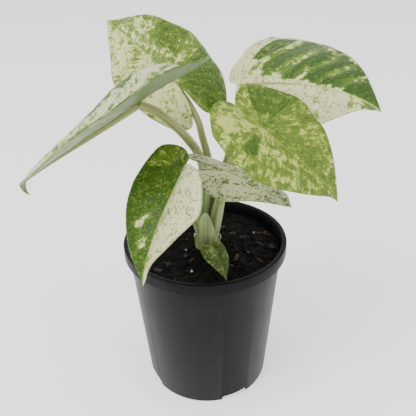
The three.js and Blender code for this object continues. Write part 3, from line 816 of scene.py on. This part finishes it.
# Blades.
# Six thin heart-shaped blades, quilted between their side veins and waved at their margins.
# The upper face is marbled cream, lime and green in sectors that follow the veins, the lower
# face is paler and smoother, and a raised midrib runs under each blade to its stalk.
BLADE_THICKNESS = 0.0009
VEIN_LEAN = 0.6
BLADE_COLUMNS = 28
BLADE_ROWS = 130
NOTCH_POINTS = 3
BUMP_ONSET = 4
RIB_REACH = 0.97
RIB_TAPER = 0.85
RIB_DEPTH = 0.62
RIB_WIDTH = 0.8
RIB_LEAST = 0.00012
OUTLINE = [(0, 0), (-0.35, 0.035), (-0.78, 0.11), (-1, 0.33), (-0.86, 0.62), (-0.45, 0.88),
           (0, 0.985), (0.2, 1), (0.42, 0.87), (0.68, 0.5), (0.88, 0.16), (0.96, 0.045), (1, 0)]
# Where the side veins meet the margin, counted in the outline's points from the sinus.
VEINS = (2.6, 4, 5.2, 6.2, 7, 7.7, 8.2, 8.6, 9, 9.45, 9.95, 10.5)


def outline_at(leaf, station):
    """The blade's outline from the sinus, 0, round to the tip, 1."""
    place = station * (len(OUTLINE) - 1)
    low = min(int(place), len(OUTLINE) - 2)
    t = place - low
    points = []
    for k in (-1, 0, 1, 2):
        index = min(max(low + k, 0), len(OUTLINE) - 1)
        along, out = OUTLINE[index]
        points.append((along, out * leaf["sinus"] if index < NOTCH_POINTS else out))
    mixed = []
    for first, start, end, last in zip(*points):
        pull = (end - first) * 0.5
        push = (last - start) * 0.5
        mixed.append((2 * start - 2 * end + pull + push) * t ** 3
                     + (3 * end - 3 * start - 2 * pull - push) * t ** 2 + pull * t + start)
    return mixed


def vein_count(station):
    """The number of side veins passed from the sinus, with the share to the next one."""
    place = station * (len(OUTLINE) - 1)
    marks = (0, *VEINS, len(OUTLINE) - 1)
    low = max(i for i in range(len(marks) - 1) if marks[i] <= place or i == 0)
    return low + (place - marks[low]) / (marks[low + 1] - marks[low])


def margin_bump(leaf, side, station):
    """The lift of the margin off the blade, and its distance beyond the plain outline."""
    count, height, phase = leaf["waves"]
    lift = height * math.sin(2 * math.pi * count * station + side + phase) * math.sin(math.pi * station)
    out = 0
    for on_side, middle, spread, bump_lift, bump_out in leaf["bumps"]:
        nearness = math.exp(-((station - middle) / spread) ** 2) if on_side == side else 0
        lift += bump_lift * nearness
        out += bump_out * nearness
    return lift, out


def flat_place(leaf, side, station, share):
    """The place on the flattened leaf: along the midrib, and out from it."""
    half = 0 if side < 0 else 1
    along, out = outline_at(leaf, station)
    mean_width = sum(leaf["width"]) / 2
    foot = max(0, along * leaf["length"] - VEIN_LEAN * out * mean_width)
    reach = along * (leaf["lobe"][half] if along < 0 else leaf["length"])
    beyond = margin_bump(leaf, side, station)[1] * min(1, out * BUMP_ONSET) * share
    return foot + (reach - foot) * share, max(0, (out * leaf["width"][half] + beyond) * share)


def blade_place(leaf, side, a, b, lift=0):
    """The place in space of a place on the flattened leaf, lifted off its middle sheet."""
    half = 0 if side < 0 else 1
    middle, along, right, up = midrib_at(leaf, leaf["stations"], max(a, 0))
    behind = max(-a, 0)
    droop = math.radians(leaf["droop"][half] or 0.1) / leaf["lobe"][half]
    turn = droop * behind
    middle = middle - along * (math.sin(turn) / droop) - up * ((1 - math.cos(turn)) / droop)
    tilted = up * math.cos(turn) - along * math.sin(turn)
    opened = 1 - leaf["opens"] * min(max(a / leaf["length"], 0), 1)
    fold = math.radians(leaf["fold"][half] * opened)
    cup = math.radians(leaf["cup"][half] or 0.1) / leaf["width"][half]
    middle = middle + right * (side * (math.sin(fold + cup * b) - math.sin(fold)) / cup)
    middle = middle - tilted * ((math.cos(fold + cup * b) - math.cos(fold)) / cup)
    return middle + tilted * lift


def make_blade(leaf_name, leaf, columns, rows, upper, lower):
    def split(u, v):
        side = -1 if u < 0.5 else 1
        return side, v, abs(u - 0.5) * 2

    def place(u, v):
        side, station, share = split(u, v)
        a, b = flat_place(leaf, side, station, share)
        lift = margin_bump(leaf, side, station)[0] * share ** 2
        between = abs(math.sin(math.pi * vein_count(station)))
        swell = leaf["quilt"] * between ** 0.7 * math.sin(math.pi * min(share, 1) ** 0.8) * min(1, b * 160)
        return blade_place(leaf, side, a, b, lift + swell)

    def flat_map(u, v):
        side, station, share = split(u, v)
        a, b = flat_place(leaf, side, station, share)
        return a, side * b

    def vein_map(u, v):
        side, station, share = split(u, v)
        return vein_count(station), side * share

    def greenness(u, v):
        side, station, share = split(u, v)
        vein = vein_count(station)
        a, b = flat_place(leaf, side, station, share)
        stray = noise.noise(Vector((a * 160, side * b * 160, leaf["base"][2] * 90)))
        stray += noise.noise(Vector((a * 430, side * b * 430, leaf["base"][2] * 50))) * 0.8
        fine = noise.noise(Vector((vein * 2.2, share * 2.5, side * 3.1)))
        value = leaf["green"][0 if side < 0 else 1]
        for on_side, low, high, near, far, amount in leaf["patches"]:
            if side != on_side:
                continue
            inside = min(vein + fine * 0.35 - low, high - vein - fine * 0.35) * 5
            inside = min(inside, (share + stray * 0.12 - near) * 14, (far - share - stray * 0.12) * 14)
            value += (amount - value) * min(max(inside, 0), 1)
        return value

    shape = skin(columns * 2, rows, place, maps=[("flat", flat_map), ("veins", vein_map)],
                 shades=[("greenness", greenness)])
    blade = finished(shape, f"leaf_blade_{leaf_name}", [upper.material, lower.material])
    wall = blade.modifiers.new("thickness", "SOLIDIFY")
    wall.thickness = BLADE_THICKNESS
    wall.offset = 0
    wall.material_offset = 1
    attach(blade, "root")
    return blade


def marbled(name, cream, lime, green, deep, cell=1.0, specks=0.6, spread=3.2, face="upper"):
    """A blade's face: sectors, streaks and flecks of green on cream, from its greenness."""
    finish = Finish(name, roughness=0.45, IOR=1.42, Subsurface_Weight=0.1, Specular_IOR_Level=0.3)
    finish.shader.inputs["Subsurface Radius"].default_value = (0.002, 0.003, 0.001)
    flat = finish.make("ShaderNodeUVMap", {"uv_map": "flat"})
    veins = finish.make("ShaderNodeUVMap", {"uv_map": "veins"})
    vein_place = finish.make("ShaderNodeSeparateXYZ", None, {"Vector": veins}, output="X")
    out_share = finish.make("ShaderNodeSeparateXYZ", None, {"Vector": veins}, output="Y").math("ABSOLUTE")
    out = finish.make("ShaderNodeSeparateXYZ", None, {"Vector": flat}, output="Y").math("ABSOLUTE")
    greenness = finish.make("ShaderNodeAttribute", {"attribute_name": "greenness"}, output="Fac")

    blots = finish.spots(flat, 75 * cell, 6, 0.68, 0.5)
    streaks = finish.spots(finish.stretched(veins, (4.6 * cell, 3.2 * cell, 1)), 1, 5, 0.66, 0.4)
    flecks = finish.spots(finish.stretched(veins, (15 * cell, 11 * cell, 1)), 1, 3, 0.6, 0.6)
    grain = finish.spots(flat, 430 * cell, 3, 0.6, 0.5)
    dabs = finish.spots(flat, 210 * cell, 4, 0.65, 0.8)
    field = blots * 0.34 + streaks * 0.22 + flecks * 0.16 + dabs * 0.28
    depth = (field - 0.5) * spread + greenness
    tones = finish.make("ShaderNodeValToRGB", {"stops": [
        (0.40, cream), (0.50, lime), (0.58, green), (0.98, deep)]}, {"Fac": depth})
    dots = (grain * 0.45 + dabs * 0.2 + blots * 0.35).ease(0.52, 0.56) * specks
    tones = finish.mix(dots, tones, green)
    pale_dots = (1 - grain * 0.6 - dabs * 0.4).ease(0.55, 0.62) * 0.55
    tones = finish.mix(pale_dots * depth.ease(0.5, 0.7) * (1 - depth.ease(0.8, 1.05) * 0.75), tones, lime)

    vein_line = (vein_place.math("FRACT") - 0.5).math("ABSOLUTE").ease(0.465, 0.498)
    vein_line = vein_line * out_share.ease(0.0, 0.05) * (1 - out_share.ease(0.6, 1.0))
    rib = 1 - out.ease(0.0004, 0.0011)
    toned = finish.mix(vein_line * 0.2, tones, lime)
    toned = finish.mix(rib * 0.45, toned, lime)
    toned = finish.mix(out_share.ease(0.975, 0.998) * 0.6, toned, green)
    if face == "lower":
        toned = finish.mix(0.72, toned, color(102, 122, 76))
    finish.feed(finish.shader.inputs["Base Color"], toned)
    finish.feed(finish.shader.inputs["Roughness"], streaks * 0.2 + 0.32)
    finish.relief(flecks * 0.5 - vein_line * 0.9, 0.3, 0.0005)
    return finish


for leaf_name, leaf in LEAVES.items():
    tones = {key: color(*leaf["tones"][key]) for key in ("cream", "lime", "green", "deep")}
    upper = marbled(f"upper face {leaf_name}", **tones, specks=leaf["specks"], spread=leaf["spread"])
    lower = marbled(f"lower face {leaf_name}", **tones, specks=leaf["specks"], face="lower")
    blade = make_blade(leaf_name, leaf, BLADE_COLUMNS, BLADE_ROWS, upper, lower)
    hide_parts(f"blade_{leaf_name}")

    def rib_at(share, leaf=leaf):
        middle, along, _, up = midrib_at(leaf, leaf["stations"], share * leaf["length"] * RIB_REACH)
        return middle - up * (leaf["stalk"][0] * RIB_DEPTH * (1 - RIB_TAPER * share)), along

    def rib_radius(share, leaf=leaf):
        return leaf["stalk"][0] * RIB_WIDTH * (1 - RIB_TAPER * share) + RIB_LEAST

    rib_shape = tube(rib_at, leaf["length"], rib_radius, 14, 60)
    rib = finished(rib_shape, f"midrib_{leaf_name}", [stalk_skin.material])
    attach(rib, "root")


# Young leaf.
# A small new leaf low in front of the stem, on a short stalk of its own out of the soil.
YOUNG_LEAF["stations"] = midrib(YOUNG_LEAF)
young_top = Vector(YOUNG_LEAF["base"]) - YOUNG_LEAF["stations"][0][3] * STALK_TIP_GAP
young_at, young_length = flowing(YOUNG_LEAF["route"] + [young_top])
young_thin, young_thick = YOUNG_LEAF["stalk"]
young_stalk_shape = tube(young_at, young_length,
                         lambda share: young_thick + (young_thin - young_thick) * share, 20, 40)
young_stalk = finished(young_stalk_shape, "young_leaf_stalk", [sheath_skin.material])
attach(young_stalk, "root")
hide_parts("young_stalk")

young_tones = {key: color(*YOUNG_LEAF["tones"][key]) for key in ("cream", "lime", "green", "deep")}
young_upper = marbled("upper face young", **young_tones, cell=1.3)
young_lower = marbled("lower face young", **young_tones, cell=1.3, face="lower")
young_blade = make_blade("young", YOUNG_LEAF, 12, 60, young_upper, young_lower)
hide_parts("young_blade")
